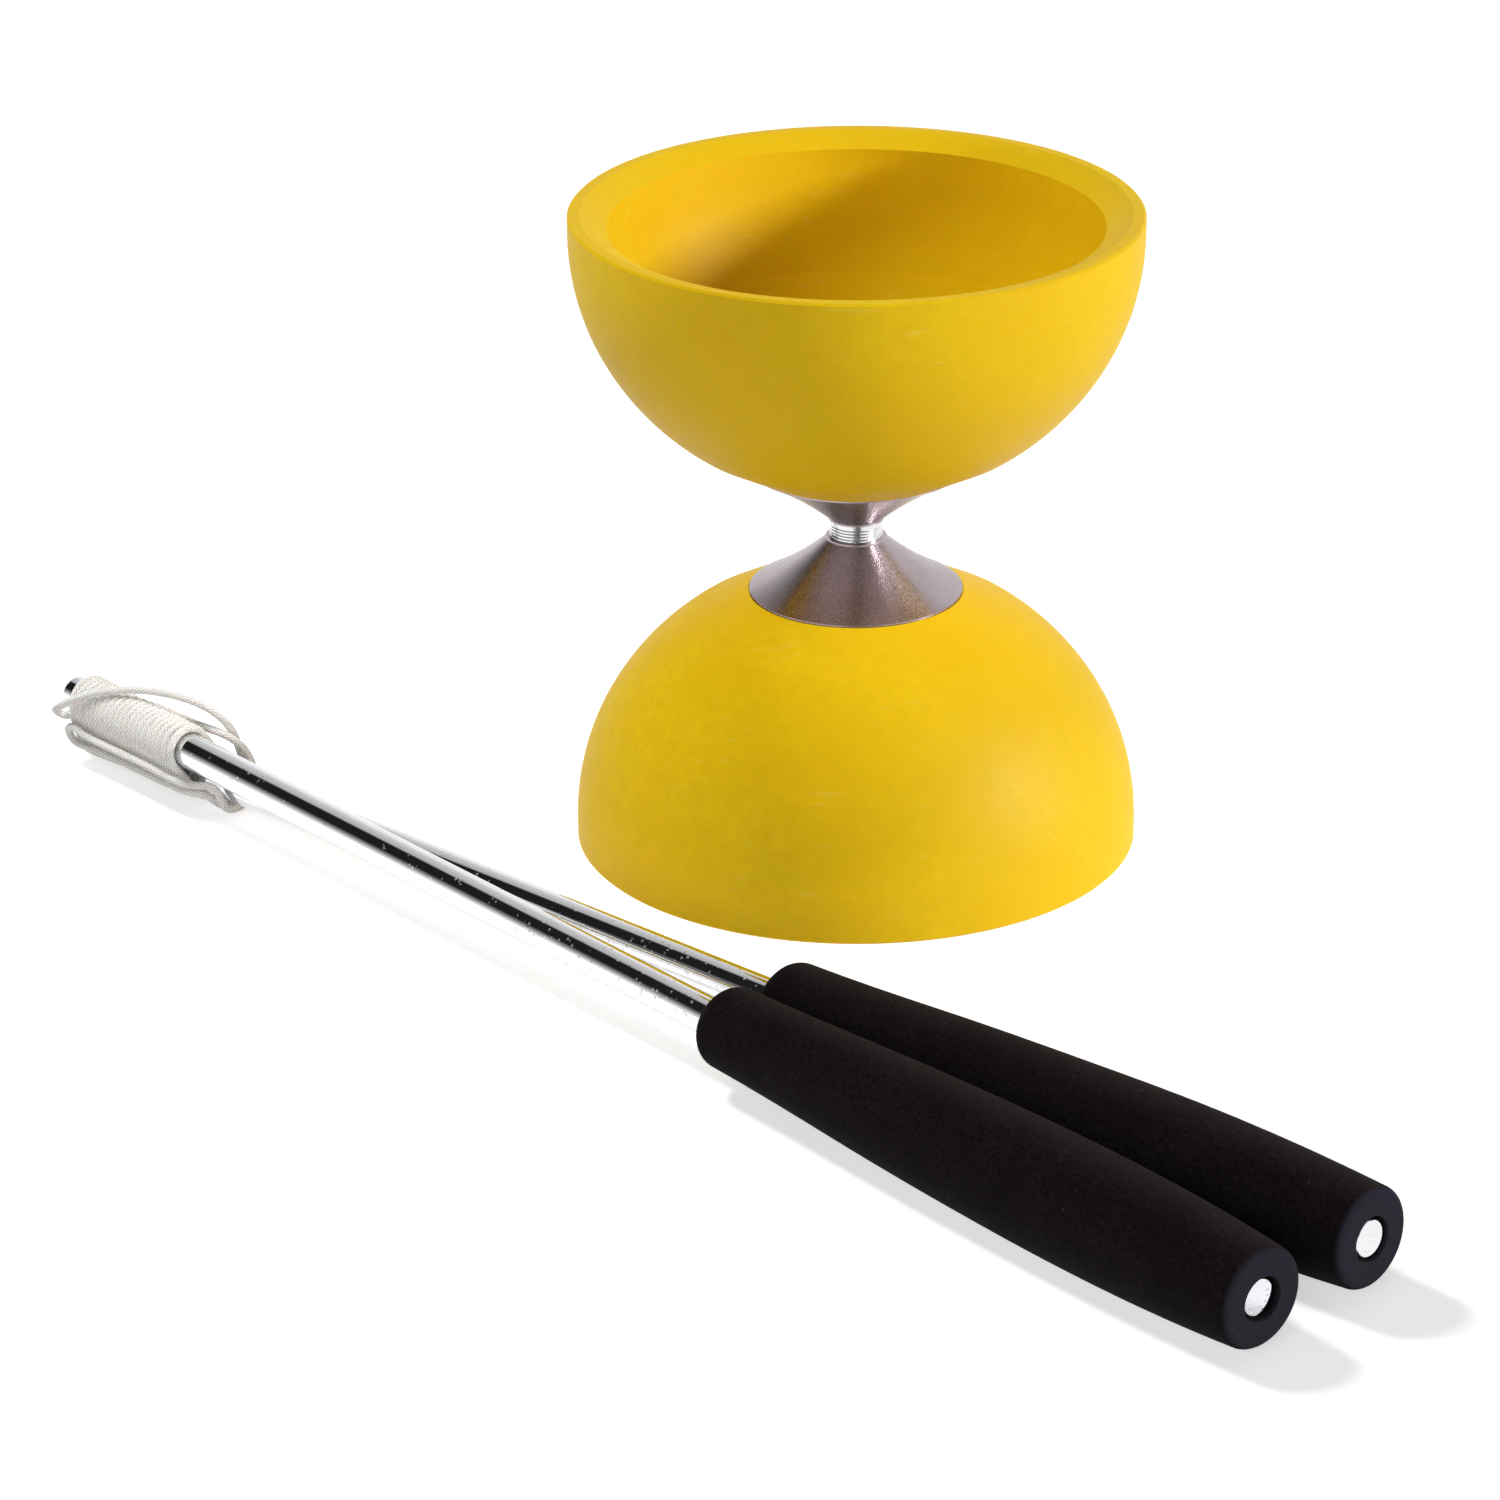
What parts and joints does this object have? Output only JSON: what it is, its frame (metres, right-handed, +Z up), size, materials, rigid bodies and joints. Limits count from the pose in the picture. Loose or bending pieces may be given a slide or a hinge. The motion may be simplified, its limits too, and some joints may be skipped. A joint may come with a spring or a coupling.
{
  "type": "diabolo set",
  "caption": "Yellow rubber diabolo with a metal waist standing on its rim, with two chromed hand sticks in black foam grips, their tips bound together by a wound white string.",
  "frame": {"origin": "on the floor, under the middle of the footprint of the spool and the two sticks", "axes": "+Z up along the spool's axle; +Y is the long side of the footprint, from the grips' ends towards the spool; +X across it, towards the grips"},
  "size_m": [0.2324, 0.2503, 0.1164],
  "materials": {
    "yellow_rubber": "smooth, slightly glossy moulded rubber",
    "cone_metal": "satin, fine grain",
    "bright_metal": "polished",
    "rod_chrome": "mirror with fine pits",
    "steel": "zinc plated",
    "nylon": "matte",
    "foam": "velvety closed-cell foam",
    "string": "fine round braid"
  },
  "bodies": {
    "front_stick": {"front_rod": "rod_chrome", "front_grip": "foam", "string_winding": "string", "string_loose": "string"},
    "rear_stick": {"rear_rod": "rod_chrome", "rear_grip": "foam"},
    "spool": {"lower_cup": "yellow_rubber", "upper_cup": "yellow_rubber", "lower_cone": "cone_metal", "upper_cone": "cone_metal", "axle_sleeve": "bright_metal", "axle_bolt": "steel", "lower_washer": "steel", "upper_washer": "steel", "lock_nut": "steel", "lock_nut_ring": "nylon"}
  },
  "joints": [
    {"name": "spool_spin", "type": "hinge", "parent": "front_stick", "child": "spool", "pos_m": [0.0315, 0.0752, 0.0582], "axis": [0, 0, 1], "continuous": true},
    {"name": "stick_splay", "type": "hinge", "parent": "front_stick", "child": "rear_stick", "pos_m": [-0.09703, 0.0972, 0.00519], "axis": [0, 0, 1], "range_deg": [0, 5], "deforming": ["string_winding", "string_loose"]}
  ]
}
